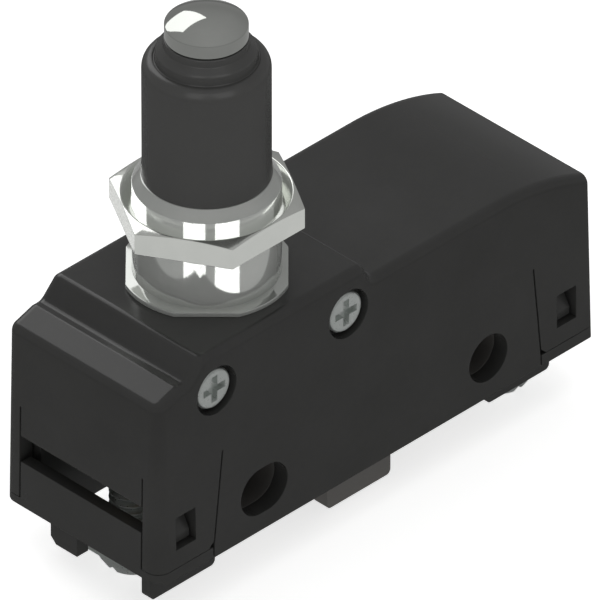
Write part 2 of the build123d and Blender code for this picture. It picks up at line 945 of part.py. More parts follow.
def make_clamp_screw(x, y):
    """A terminal screw, backed out, with its slotted head facing down."""
    seat = -clamp_head_drop
    face = seat - clamp_head_height
    head = Pos(x, y, 0) * turned(
        [
            (0, face),
            (clamp_head_r - clamp_head_bevel, face),
            (clamp_head_r, face + clamp_head_height * clamp_head_share),
            (clamp_head_r, seat),
            (0, seat),
        ],
        [0, clamp_head_round, clamp_head_round, 0, 0],
    )
    reach = clamp_head_r + spare
    half = clamp_slot_width / 2
    low = face - spare
    top = face + clamp_slot_depth
    head -= block(x - reach, x + reach, y - half, y + half, low, top)
    head -= block(x - half, x + half, y - reach, y + reach, low, top)
    return head + rod_z(x, y, clamp_screw_r, seat, seat + clamp_length)


def make_clamp_plate(x, y):
    """The square washer that presses a wire against its terminal."""
    low = -clamp_head_drop + plate_seat_gap
    high = low + plate_thickness
    body = block(x - plate_half_x, x + plate_half_x, y - plate_half_y, y + plate_half_y, low, high)
    for side in (-1, 1):
        edge = x + side * plate_half_x
        lip_x = span(edge, edge - side * plate_lip)
        body += block(*lip_x, y - plate_half_y, y + plate_half_y, high, high + plate_lip)
    return body - rod_z(x, y, clamp_screw_r + plate_hole_gap, low - spare, high + spare)


def all_parts():
    """Every node of the switch, by name."""
    return {
        "housing": make_housing(),
        "contact_base": make_base(),
        "terminal_cover_left": make_left_cover(),
        "terminal_cover_right": make_right_cover(),
        "head_bracket": make_bracket(),
        "side_screw_left": make_side_screw(-screw_x),
        "side_screw_right": make_side_screw(screw_x),
        "bushing": make_bushing(),
        "lock_nut": make_nut(),
        "rubber_boot": make_boot(),
        "plunger_cap": make_cap(),
        "piston": make_piston(),
        "piston_seal": make_seal(),
        "return_spring": make_return_spring(),
        "overtravel_spring": make_overtravel_spring(),
        "actuator_pin": make_pin(),
        "snap_blade": make_blade(),
        "moving_contact": make_moving_contact(),
        "blade_anchor": make_anchor(),
        "common_terminal": make_common_terminal(),
        "closed_terminal": make_closed_terminal(),
        "open_terminal": make_open_terminal(),
        "closed_contact": make_closed_contact(),
        "open_contact": make_open_contact(),
        "clamp_screw_common": make_clamp_screw(common_screw_x, 0),
        "clamp_screw_closed": make_clamp_screw(right_screw_x, -right_screw_y),
        "clamp_screw_open": make_clamp_screw(right_screw_x, right_screw_y),
        "clamp_plate_common": make_clamp_plate(common_screw_x, 0),
        "clamp_plate_closed": make_clamp_plate(right_screw_x, -right_screw_y),
        "clamp_plate_open": make_clamp_plate(right_screw_x, right_screw_y),
    }


def main():
    """Write each node with the origin at the round mounting hole's centre."""
    os.makedirs("parts", exist_ok=True)
    to_origin = Pos(-round_x, 0, -hole_z)
    for name, shape in all_parts().items():
        export_step(to_origin * shape, f"parts/{name}.step")
        print(name, round(shape.volume, 2), shape.is_valid)


main()
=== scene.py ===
"""A micro switch with a bushing-mounted plunger, dressed for a plain studio picture."""

import logging
import math
from dataclasses import dataclass
from enum import Enum
from typing import Any, Iterable, Mapping, Optional, Sequence

import bmesh
import bpy
from mathutils import Matrix, Vector


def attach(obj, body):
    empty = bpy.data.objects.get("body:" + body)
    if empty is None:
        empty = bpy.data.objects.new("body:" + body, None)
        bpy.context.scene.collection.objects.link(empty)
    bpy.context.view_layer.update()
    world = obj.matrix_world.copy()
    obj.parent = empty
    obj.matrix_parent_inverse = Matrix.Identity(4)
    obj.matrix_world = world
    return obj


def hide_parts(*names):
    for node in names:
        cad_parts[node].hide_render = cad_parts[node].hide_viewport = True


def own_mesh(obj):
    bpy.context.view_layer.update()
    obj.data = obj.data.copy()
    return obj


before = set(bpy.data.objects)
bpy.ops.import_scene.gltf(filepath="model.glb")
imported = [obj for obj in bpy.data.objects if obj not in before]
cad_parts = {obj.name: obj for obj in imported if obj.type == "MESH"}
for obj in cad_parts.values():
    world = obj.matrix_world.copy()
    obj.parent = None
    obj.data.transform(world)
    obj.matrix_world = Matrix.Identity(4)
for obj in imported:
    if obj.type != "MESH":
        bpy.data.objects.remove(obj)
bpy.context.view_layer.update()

LOG = logging.getLogger("micro_switch")
MM = 0.001
PLUNGER_X = -23.1
PLATFORM_Z = 15.9
FLOOR_Z = -8.35
UP = (0.0, 0.0, 1.0)
MIDDLE = (0.0, 0.0, 0.0)

Point = tuple[float, float]
Point3 = tuple[float, float, float]
Colour = tuple[float, float, float, float]


class Body(Enum):
    """The moving bodies that a piece can ride on."""

    HOUSING = "body"
    PLUNGER = "plunger"
    NUT = "nut"


class Slot(Enum):
    """The record's material slot names for the replaced pieces, which this script does not assign."""

    SCREW_STEEL = "screw_steel"
    NICKEL = "nickel_brass"
    RUBBER = "rubber"
    POLISHED_STEEL = "polished_steel"
    SPRING_STEEL = "spring_steel"


class Grain(Enum):
    """How a metal surface was made, which gives the direction of its marks."""

    TURNED = "rings about the plunger"
    ROLLED = "streaks along the strip"
    TUMBLED = "even fine pits"


class Audience(Enum):
    """The groups of pieces that have lights of their own."""

    HEAD = "head"
    PLATED = "plated"
    NUT = "nut"
    BOOT = "boot"


# ---- small tools ----


def srgb(text: str) -> Colour:
    """Turn an sRGB hex colour into the linear colour that a socket takes.

    Args:
        text: six hex digits, with or without a leading hash.

    Returns:
        Linear red, green, blue and an alpha of one.
    """
    digits = text.lstrip("#")
    parts = [int(digits[i : i + 2], 16) / 255 for i in (0, 2, 4)]
    linear = [c / 12.92 if c <= 0.04045 else ((c + 0.055) / 1.055) ** 2.4 for c in parts]
    return (linear[0], linear[1], linear[2], 1.0)


def per_metre(size_mm: float) -> float:
    """Give the texture scale whose pattern repeats about every size_mm."""
    return 1.0 / (size_mm * MM)


def add(
    tree: bpy.types.NodeTree,
    kind: str,
    fields: Optional[Mapping[str, Any]] = None,
    values: Optional[Mapping[Any, Any]] = None,
    links: Optional[Mapping[Any, bpy.types.NodeSocket]] = None,
) -> bpy.types.Node:
    """Add a node with its settings and links.

    Args:
        tree: the node tree that takes it.
        kind: the node's type name.
        fields: properties of the node itself.
        values: numbers or colours for its inputs.
        links: output sockets that feed its inputs.

    Returns:
        The new node.
    """
    node = tree.nodes.new(kind)
    for name, value in (fields or {}).items():
        setattr(node, name, value)
    for name, value in (values or {}).items():
        node.inputs[name].default_value = value
    for name, source in (links or {}).items():
        tree.links.new(source, node.inputs[name])
    return node


def blank_material(name: str) -> tuple[bpy.types.Material, bpy.types.NodeTree, bpy.types.Node]:
    """Make a material that holds only its shader and output.

    Args:
        name: what the real surface is.

    Returns:
        The material, its node tree and its shader.
    """
    material = bpy.data.materials.new(name)
    material.use_nodes = True
    tree = material.node_tree
    tree.nodes.clear()
    shader = add(tree, "ShaderNodeBsdfPrincipled")
    add(tree, "ShaderNodeOutputMaterial", links={"Surface": shader.outputs["BSDF"]})
    return material, tree, shader


# ---- finishes ----


@dataclass(frozen=True)
class MouldedFinish:
    """A moulded plastic or rubber, with the fine spark-eroded grain of its tool.

    The colour drifts a little where the filler has flowed, and the gloss is uneven in
    patches, so a flat side never reads as one tone.
    """

    name: str
    colour: str
    drift_colour: str
    roughness: float
    roughness_spread: float
    ior: float
    grain_mm: float
    grain_depth_mm: float
    edge_mm: float

    def make(self) -> bpy.types.Material:
        """Build the material."""
        material, tree, shader = blank_material(self.name)
        place = add(tree, "ShaderNodeTexCoord").outputs["Object"]
        flow = add(
            tree,
            "ShaderNodeTexNoise",
            values={"Scale": per_metre(9.0), "Detail": 3.0, "Roughness": 0.6},
            links={"Vector": place},
        )
        speck = add(
            tree,
            "ShaderNodeTexNoise",
            values={"Scale": per_metre(0.45), "Detail": 2.0},
            links={"Vector": place},
        )
        both = add(
            tree,
            "ShaderNodeMath",
            fields={"operation": "MULTIPLY_ADD"},
            values={1: 0.3},
            links={0: speck.outputs["Fac"], 2: flow.outputs["Fac"]},
        )
        share = add(
            tree,
            "ShaderNodeMapRange",
            values={"From Min": 0.45, "From Max": 0.85},
            links={"Value": both.outputs["Value"]},
        )
        colour = add(
            tree,
            "ShaderNodeMix",
            fields={"data_type": "RGBA"},
            values={6: srgb(self.colour), 7: srgb(self.drift_colour)},
            links={0: share.outputs["Result"]},
        )
        gloss = add(
            tree,
            "ShaderNodeMapRange",
            values={
                "From Min": 0.3,
                "From Max": 0.7,
                "To Min": self.roughness - self.roughness_spread,
                "To Max": self.roughness + self.roughness_spread,
            },
            links={"Value": flow.outputs["Fac"]},
        )
        edge = add(
            tree,
            "ShaderNodeBevel",
            fields={"samples": 6},
            values={"Radius": self.edge_mm * MM},
        )
        grain = add(
            tree,
            "ShaderNodeTexNoise",
            values={"Scale": per_metre(self.grain_mm), "Detail": 4.0, "Roughness": 0.65},
            links={"Vector": place},
        )
        bump = add(
            tree,
            "ShaderNodeBump",
            values={"Strength": 1.0, "Distance": self.grain_depth_mm * MM},
            links={"Height": grain.outputs["Fac"], "Normal": edge.outputs["Normal"]},
        )
        shader.inputs["IOR"].default_value = self.ior
        tree.links.new(colour.outputs[2], shader.inputs["Base Color"])
        tree.links.new(gloss.outputs["Result"], shader.inputs["Roughness"])
        tree.links.new(bump.outputs["Normal"], shader.inputs["Normal"])
        return material


@dataclass(frozen=True)
class MetalFinish:
    """A plated, rolled or polished metal, with the marks that its making left.

    Haze is the share of the plating that scatters light evenly instead of mirroring it.
    """

    name: str
    colour: str
    worn_colour: str
    roughness: float
    roughness_spread: float
    grain: Grain
    mark_mm: float
    mark_depth_mm: float
    edge_mm: float
    haze: float = 0.0

    def _marks(self, tree: bpy.types.NodeTree, place: bpy.types.NodeSocket) -> bpy.types.NodeSocket:
        """Give the coordinates in which the marks run the right way.

        Args:
            tree: the material's nodes.
            place: Object coordinates.

        Returns:
            The socket that feeds the mark texture.
        """
        if self.grain is Grain.TUMBLED:
            return place
        if self.grain is Grain.ROLLED:
            stretch = add(
                tree,
                "ShaderNodeMapping",
                values={"Scale": (0.04, 1.0, 1.0)},
                links={"Vector": place},
            )
            return stretch.outputs["Vector"]
        centred = add(
            tree,
            "ShaderNodeMapping",
            values={"Location": (-PLUNGER_X * MM, 0.0, 0.0)},
            links={"Vector": place},
        )
        parts = add(tree, "ShaderNodeSeparateXYZ", links={"Vector": centred.outputs["Vector"]})
        flat = add(
            tree,
            "ShaderNodeCombineXYZ",
            links={"X": parts.outputs["X"], "Y": parts.outputs["Y"]},
        )
        radius = add(
            tree,
            "ShaderNodeVectorMath",
            fields={"operation": "LENGTH"},
            links={0: flat.outputs["Vector"]},
        )
        rings = add(
            tree,
            "ShaderNodeCombineXYZ",
            links={"X": radius.outputs["Value"], "Z": parts.outputs["Z"]},
        )
        return rings.outputs["Vector"]

    def make(self) -> bpy.types.Material:
        """Build the material."""
        material, tree, shader = blank_material(self.name)
        place = add(tree, "ShaderNodeTexCoord").outputs["Object"]
        tarnish = add(
            tree,
            "ShaderNodeTexNoise",
            values={"Scale": per_metre(4.0), "Detail": 4.0, "Roughness": 0.6},
            links={"Vector": place},
        )
        share = add(
            tree,
            "ShaderNodeMapRange",
            values={"From Min": 0.35, "From Max": 0.75},
            links={"Value": tarnish.outputs["Fac"]},
        )
        colour = add(
            tree,
            "ShaderNodeMix",
            fields={"data_type": "RGBA"},
            values={6: srgb(self.colour), 7: srgb(self.worn_colour)},
            links={0: share.outputs["Result"]},
        )
        marks = add(
            tree,
            "ShaderNodeTexNoise",
            values={"Scale": per_metre(self.mark_mm), "Detail": 3.0, "Roughness": 0.6},
            links={"Vector": self._marks(tree, place)},
        )
        gloss = add(
            tree,
            "ShaderNodeMapRange",
            values={
                "From Min": 0.3,
                "From Max": 0.7,
                "To Min": max(0.02, self.roughness - self.roughness_spread),
                "To Max": self.roughness + self.roughness_spread,
            },
            links={"Value": marks.outputs["Fac"]},
        )
        edge = add(
            tree,
            "ShaderNodeBevel",
            fields={"samples": 6},
            values={"Radius": self.edge_mm * MM},
        )
        bump = add(
            tree,
            "ShaderNodeBump",
            values={"Strength": 1.0, "Distance": self.mark_depth_mm * MM},
            links={"Height": marks.outputs["Fac"], "Normal": edge.outputs["Normal"]},
        )
        shader.inputs["Metallic"].default_value = 1.0 - self.haze
        tree.links.new(colour.outputs[2], shader.inputs["Base Color"])
        tree.links.new(gloss.outputs["Result"], shader.inputs["Roughness"])
        tree.links.new(bump.outputs["Normal"], shader.inputs["Normal"])
        return material


# Glass-filled polyester, moulded in a finely polished tool: black, with a crisp weak gloss.
HOUSING_PLASTIC = MouldedFinish(
    name="moulded_black_polyester",
    colour="#353534",
    drift_colour="#393938",
    roughness=0.2,
    roughness_spread=0.03,
    ior=1.5,
    grain_mm=0.28,
    grain_depth_mm=0.0012,
    edge_mm=0.1,
)

# The covers are the same kind of plastic from another tool, a touch more matt.
COVER_PLASTIC = MouldedFinish(
    name="moulded_black_nylon",
    colour="#353534",
    drift_colour="#393938",
    roughness=0.24,
    roughness_spread=0.04,
    ior=1.53,
    grain_mm=0.24,
    grain_depth_mm=0.0015,
    edge_mm=0.1,
)

# Phenolic contact base: in truth darker and duller than the housing, with wood-flour specks; its colour
# here is painted much lighter, as painted fill light inside the holes and recesses it lines.
BASE_PLASTIC_PAINTED_FILL = MouldedFinish(
    name="moulded_phenolic",
    colour="#575654",
    drift_colour="#5E5B57",
    roughness=0.55,
    roughness_spread=0.06,
    ior=1.6,
    grain_mm=0.35,
    grain_depth_mm=0.005,
    edge_mm=0.1,
)

# Nitrile rubber from a polished tool: dark grey, with faint crisp arcs of light.
NITRILE_RUBBER = MouldedFinish(
    name="moulded_nitrile_rubber",
    colour="#424241",
    drift_colour="#454544",
    roughness=0.25,
    roughness_spread=0.03,
    ior=1.5,
    grain_mm=0.2,
    grain_depth_mm=0.001,
    edge_mm=0.05,
)

# Bright nickel plate on turned brass: a slightly hazy mirror with faint turning rings.
BRIGHT_NICKEL = MetalFinish(
    name="bright_nickel_plate",
    colour="#CFD1CD",
    worn_colour="#C6C9C5",
    roughness=0.07,
    roughness_spread=0.02,
    grain=Grain.TURNED,
    mark_mm=0.12,
    mark_depth_mm=0.0003,
    edge_mm=0.04,
    haze=0.35,
)

# The nut is plated over milled flats and stays a clean mirror, if a paler one.
SATIN_NICKEL = MetalFinish(
    name="satin_nickel_plate",
    colour="#E8EAE5",
    worn_colour="#DFE2DD",
    roughness=0.12,
    roughness_spread=0.03,
    grain=Grain.TURNED,
    mark_mm=0.15,
    mark_depth_mm=0.0006,
    edge_mm=0.04,
)

# Polished stainless steel of the button, a true mirror.
POLISHED_STAINLESS = MetalFinish(
    name="polished_stainless_steel",
    colour="#C4C6C2",
    worn_colour="#BDBFBB",
    roughness=0.05,
    roughness_spread=0.015,
    grain=Grain.TURNED,
    mark_mm=0.1,
    mark_depth_mm=0.0002,
    edge_mm=0.04,
)

# Zinc-plated steel screws: bluish white, tumbled to an even, slightly hazy satin.
ZINC_PLATED_STEEL = MetalFinish(
    name="zinc_plated_steel",
    colour="#D2D6D3",
    worn_colour="#BFC4C1",
    roughness=0.32,
    roughness_spread=0.06,
    grain=Grain.TUMBLED,
    mark_mm=0.18,
    mark_depth_mm=0.0015,
    edge_mm=0.05,
    haze=0.2,
)

# Die-cast zinc of the inner bracket: grey and slightly orange-peeled.
DIE_CAST_ZINC = MetalFinish(
    name="die_cast_zinc",
    colour="#A9ACAB",
    worn_colour="#959997",
    roughness=0.45,
    roughness_spread=0.06,
    grain=Grain.TUMBLED,
    mark_mm=0.4,
    mark_depth_mm=0.006,
    edge_mm=0.08,
)

# Cold-rolled brass strip of the terminals: yellow, with streaks along the strip.
ROLLED_BRASS = MetalFinish(
    name="rolled_brass",
    colour="#D9B56A",
    worn_colour="#C39B52",
    roughness=0.26,
    roughness_spread=0.07,
    grain=Grain.ROLLED,
    mark_mm=0.1,
    mark_depth_mm=0.001,
    edge_mm=0.05,
)

# Tempered spring strip of the blade and the coil springs.
SPRING_STEEL = MetalFinish(
    name="tempered_spring_steel",
    colour="#B4B1A8",
    worn_colour="#A29D92",
    roughness=0.25,
    roughness_spread=0.05,
    grain=Grain.ROLLED,
    mark_mm=0.1,
    mark_depth_mm=0.001,
    edge_mm=0.03,
)

# Fine silver of the contact rivets, a little tarnished.
FINE_SILVER = MetalFinish(
    name="fine_silver",
    colour="#EAE6DC",
    worn_colour="#D5CDBE",
    roughness=0.2,
    roughness_spread=0.05,
    grain=Grain.TUMBLED,
    mark_mm=0.2,
    mark_depth_mm=0.001,
    edge_mm=0.05,
)


# ---- shaping ----


def wire_profile(
    points: Sequence[Point], rounds: Mapping[int, float], closed: bool
) -> bmesh.types.BMesh:
    """Lay a profile in the XZ plane and round some of its corners.

    Args:
        points: radius and height of each corner, in millimetres from the plunger's axis
            and the housing's platform.
        rounds: the radius of each rounded corner, by its place in points.
        closed: whether the last corner joins the first.

    Returns:
        A mesh of edges only, in metres, about the world's Z axis.
    """
    bm = bmesh.new()
    corners = [bm.verts.new((r * MM, 0.0, z * MM)) for r, z in points]
    for a, b in zip(corners, corners[1:]):
        bm.edges.new((a, b))
    if closed:
        bm.edges.new((corners[-1], corners[0]))
    for index, radius in rounds.items():
        corner = corners[index]
        arms = [e.other_vert(corner).co - corner.co for e in corner.link_edges]
        reach = radius * MM / math.tan(arms[0].angle(arms[1]) / 2)
        bmesh.ops.bevel(
            bm,
            geom=[corner],
            offset=reach,
            offset_type="OFFSET",
            segments=8,
            profile=0.5,
            affect="VERTICES",
            clamp_overlap=False,
            material=-1,
        )
    return bm


def spin_full(bm: bmesh.types.BMesh, steps: int) -> None:
    """Turn everything in a mesh once about the world's Z axis, and close it.

    Args:
        bm: the mesh, which holds the profile.
        steps: how many facets go round.
    """
    bmesh.ops.spin(
        bm,
        geom=bm.verts[:] + bm.edges[:],
        cent=MIDDLE,
        axis=UP,
        angle=math.tau,
        steps=steps,
        use_merge=True,
    )
    bmesh.ops.remove_doubles(bm, verts=bm.verts[:], dist=1e-7)
    bmesh.ops.recalc_face_normals(bm, faces=bm.faces[:])


def soften(bm: bmesh.types.BMesh, width_mm: float, least_angle: float, segments: int = 2) -> None:
    """Break every edge that is sharper than least_angle.

    Args:
        bm: the mesh.
        width_mm: width of the broken edge.
        least_angle: degrees between the two faces.
        segments: how many strips the round has.
    """
    limit = math.radians(least_angle)
    edges = [e for e in bm.edges if len(e.link_faces) == 2 and e.calc_face_angle(0.0) > limit]
    bmesh.ops.bevel(
        bm,
        geom=edges,
        offset=width_mm * MM,
        offset_type="OFFSET",
        segments=segments,
        profile=0.5,
        affect="EDGES",
        clamp_overlap=True,
        material=-1,
    )


def finish_piece(
    bm: bmesh.types.BMesh,
    name: str,
    material: bpy.types.Material,
    place: Matrix,
    sharp_angle: float = 32.0,
) -> bpy.types.Object:
    """Turn a mesh under construction into an object at the origin.

    Args:
        bm: the mesh, which is freed.
        name: the object's name.
        material: its finish.
        place: moves the mesh to where the piece belongs.
        sharp_angle: edges above this many degrees stay crisp.

    Returns:
        The object, linked to the scene.
    """
    bmesh.ops.transform(bm, matrix=place, verts=bm.verts[:])
    limit = math.radians(sharp_angle)
    for face in bm.faces:
        face.smooth = True
    for edge in bm.edges:
        edge.smooth = len(edge.link_faces) != 2 or edge.calc_face_angle(0.0) < limit
    mesh = bpy.data.meshes.new(name)
    bm.to_mesh(mesh)
    bm.free()
    mesh.materials.append(material)
    piece = bpy.data.objects.new(name, mesh)
    bpy.context.scene.collection.objects.link(piece)
    return piece


def cut(bm: bmesh.types.BMesh, cutters: Iterable[bmesh.types.BMesh]) -> bmesh.types.BMesh:
    """Take cutters away from a closed mesh with the Boolean modifier, and apply it.

    Args:
        bm: the mesh, which is freed.
        cutters: closed meshes, which are freed.

    Returns:
        The cut mesh.
    """
    for cutter_bm in cutters:
        pair = []
        for label, source in (("blank", bm), ("cutter", cutter_bm)):
            mesh = bpy.data.meshes.new(label)
            source.to_mesh(mesh)
            source.free()
            item = bpy.data.objects.new(label, mesh)
            bpy.context.scene.collection.objects.link(item)
            pair.append(item)
        blank, cutter = pair
        modifier = blank.modifiers.new("cut", "BOOLEAN")
        modifier.operation = "DIFFERENCE"
        modifier.solver = "EXACT"
        modifier.object = cutter
        graph = bpy.context.evaluated_depsgraph_get()
        graph.update()
        result = bpy.data.meshes.new_from_object(blank.evaluated_get(graph))
        bm = bmesh.new()
        bm.from_mesh(result)
        meshes = [blank.data, cutter.data, result]
        for item in pair:
            bpy.data.objects.remove(item)
        for mesh in meshes:
            bpy.data.meshes.remove(mesh)
    return bm


def join(bm: bmesh.types.BMesh, other: bmesh.types.BMesh) -> None:
    """Put one mesh in another, as a shell of its own.

    Args:
        bm: the mesh that grows.
        other: the mesh that goes in, which is freed.
    """
    mesh = bpy.data.meshes.new("joined")
    other.to_mesh(mesh)
    other.free()
    bm.from_mesh(mesh)
    bpy.data.meshes.remove(mesh)


def tapered_bar(length: float, width: float, depth: float, taper: float) -> bmesh.types.BMesh:
    """Make one arm pair of a driver recess, open upwards.

    Args:
        length: its length at the surface, in millimetres.
        width: its width at the surface, in millimetres.
        depth: how deep it goes below Z = 0, in millimetres.
        taper: how large its floor is against its mouth.

    Returns:
        A closed mesh in metres.
    """
    bm = bmesh.new()
    bmesh.ops.create_cube(bm, size=1.0)
    spill = 0.2
    for vert in bm.verts:
        low = vert.co.z < 0
        share = taper if low else 1.0
        vert.co.x *= length * share * MM
        vert.co.y *= width * share * MM
        vert.co.z = (-depth if low else spill) * MM
    return bm


def coil(radius: float, wire: float, turns: float, low: float, high: float) -> bmesh.types.BMesh:
    """Wind a spring about the Z axis.

    Args:
        radius: of the wire's centre line, in millimetres.
        wire: the wire's diameter, in millimetres.
        turns: how often it goes round.
        low: its lowest point, in millimetres.
        high: its highest point, in millimetres.

    Returns:
        A mesh in metres, with closed ends.
    """
    bm = bmesh.new()
    steps = int(turns * 40)
    rise = (high - low - wire) / steps
    upright = Matrix.Rotation(math.radians(90.0), 4, "X")
    start = Matrix.Translation(Vector((radius, 0.0, low + wire / 2)) * MM) @ upright
    bmesh.ops.create_circle(bm, cap_ends=True, segments=12, radius=wire / 2 * MM, matrix=start)
    cap = bm.faces[:]
    bmesh.ops.spin(
        bm,
        geom=cap,
        cent=MIDDLE,
        axis=UP,
        dvec=(0.0, 0.0, rise * MM),
        angle=turns * math.tau,
        steps=steps,
    )
    bmesh.ops.recalc_face_normals(bm, faces=bm.faces[:])
    return bm


def on_axis(height: float) -> Point3:
    """Give the point of the plunger's axis that is height millimetres above the platform."""
    return (PLUNGER_X * MM, 0.0, (PLATFORM_Z + height) * MM)


ON_HEAD = Matrix.Translation(on_axis(0.0))


# ---- sub-assemblies ----


@dataclass
class MountingHead:
    """The turned bushing that carries the plunger: flange, barrel, nose and shank."""

    flange_r: float = 7.0
    flange_flat: float = 6.5
    flange_height: float = 0.44
    barrel_r: float = 6.0
    barrel_top: float = 8.77
    nose_r: float = 5.3
    nose_top: float = 9.66
    shank_r: float = 5.0
    shank_low: float = -5.3
    bore_r: float = 3.5
    bore_floor: float = -3.6
    pin_hole_r: float = 1.25

    def _barrel(self) -> bmesh.types.BMesh:
        """Turn the barrel, its nose and its bore."""
        bm = wire_profile(
            [
                (self.pin_hole_r, self.shank_low),
                (self.shank_r, self.shank_low),
                (self.shank_r, 0.0),
                (self.barrel_r, 0.0),
                (self.barrel_r, self.barrel_top),
                (self.nose_r, self.nose_top),
                (self.bore_r, self.nose_top),
                (self.bore_r, self.bore_floor),
                (self.pin_hole_r, self.bore_floor),
            ],
            {1: 0.3, 4: 0.18, 5: 0.3},
            closed=True,
        )
        spin_full(bm, 128)
        return bm

    def _flange(self) -> bmesh.types.BMesh:
        """Cut four flats on the flange's disc, break its edges and open its middle.

        The opening ends inside the barrel's wall, so that the bore stays clear.
        """
        bm = bmesh.new()
        bmesh.ops.create_circle(bm, cap_ends=True, segments=160, radius=self.flange_r * MM)
        grown = bmesh.ops.extrude_face_region(bm, geom=bm.faces[:])["geom"]
        raised = [v for v in grown if isinstance(v, bmesh.types.BMVert)]
        bmesh.ops.translate(bm, verts=raised, vec=(0.0, 0.0, self.flange_height * MM))
        for turn in (45.0, 135.0, 225.0, 315.0):
            out = Vector((math.cos(math.radians(turn)), math.sin(math.radians(turn)), 0.0))
            sliced = bmesh.ops.bisect_plane(
                bm,
                geom=bm.verts[:] + bm.edges[:] + bm.faces[:],
                dist=1e-8,
                plane_co=out * self.flange_flat * MM,
                plane_no=out,
                clear_outer=True,
            )["geom_cut"]
            rim = [e for e in sliced if isinstance(e, bmesh.types.BMEdge)]
            bmesh.ops.contextual_create(bm, geom=rim)
        bmesh.ops.recalc_face_normals(bm, faces=bm.faces[:])
        soften(bm, 0.07, 40.0)
        opening = (self.bore_r + self.shank_r) / 2 * MM
        middle = bmesh.new()
        bmesh.ops.create_cone(
            middle,
            cap_ends=True,
            segments=96,
            radius1=opening,
            radius2=opening,
            depth=4 * self.flange_height * MM,
        )
        return cut(bm, [middle])

    def build(self, finish: bpy.types.Material) -> bpy.types.Object:
        """Make the bushing and put it on the housing.

        Args:
            finish: its plating.

        Returns:
            The finished piece.
        """
        bm = self._barrel()
        join(bm, self._flange())
        piece = finish_piece(bm, "mounting_head", finish, ON_HEAD)
        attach(piece, Body.HOUSING.value)
        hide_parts("bushing")
        return piece


@dataclass
class LockNut:
    """The hexagon nut: flat below, deeply countersunk and lightly chamfered above."""

    flats: float = 14.0
    low: float = 5.57
    height: float = 2.2
    bore_r: float = 6.03
    sink_r: float = 6.85
    chamfer_r: float = 6.97
    chamfer_angle: float = 14.0
    rim_inset: float = 0.03

    def _hexagon_radius(self, turn: float) -> float:
        """Give the hexagon's radius in a direction.

        Args:
            turn: the direction about the axis, in radians, with a corner at zero.

        Returns:
            The distance from the axis to the flat, in millimetres.
        """
        sixth = math.tau / 6
        off = (turn % sixth) - sixth / 2
        return self.flats / 2 / math.cos(off)

    def build(self, finish: bpy.types.Material) -> bpy.types.Object:
        """Spin a round blank, then press its rim to the hexagon and chamfer.

        Args:
            finish: its plating.

        Returns:
            The finished piece.
        """
        top = self.low + self.height
        blank_r = self.flats / 2 + 2.0
        sink = self.sink_r - self.bore_r
        bm = wire_profile(
            [
                (self.bore_r, top - sink),
                (self.sink_r, top),
                (self.chamfer_r, top),
                (blank_r, top),
                (blank_r, self.low),
                (self.chamfer_r, self.low),
                (self.bore_r, self.low),
            ],
            {},
            closed=True,
        )
        spin_full(bm, 144)
        fall = math.tan(math.radians(self.chamfer_angle))
        middle = (self.low + self.height / 2) * MM
        for vert in bm.verts:
            reach = math.hypot(vert.co.x, vert.co.y) / MM
            if reach < self.chamfer_r - 0.01:
                continue
            turn = math.atan2(vert.co.y, vert.co.x)
            edge = self._hexagon_radius(turn)
            rim = min(self.chamfer_r, edge - self.rim_inset)
            wanted = edge if reach > self.chamfer_r + 0.01 else rim
            vert.co.x = wanted * math.cos(turn) * MM
            vert.co.y = wanted * math.sin(turn) * MM
            if vert.co.z > middle:
                vert.co.z -= max(0.0, wanted - self.chamfer_r) * fall * MM
        soften(bm, 0.05, 24.0)
        piece = finish_piece(bm, "hexagon_nut", finish, ON_HEAD, 20.0)
        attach(piece, Body.NUT.value)
        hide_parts("lock_nut")
        return piece


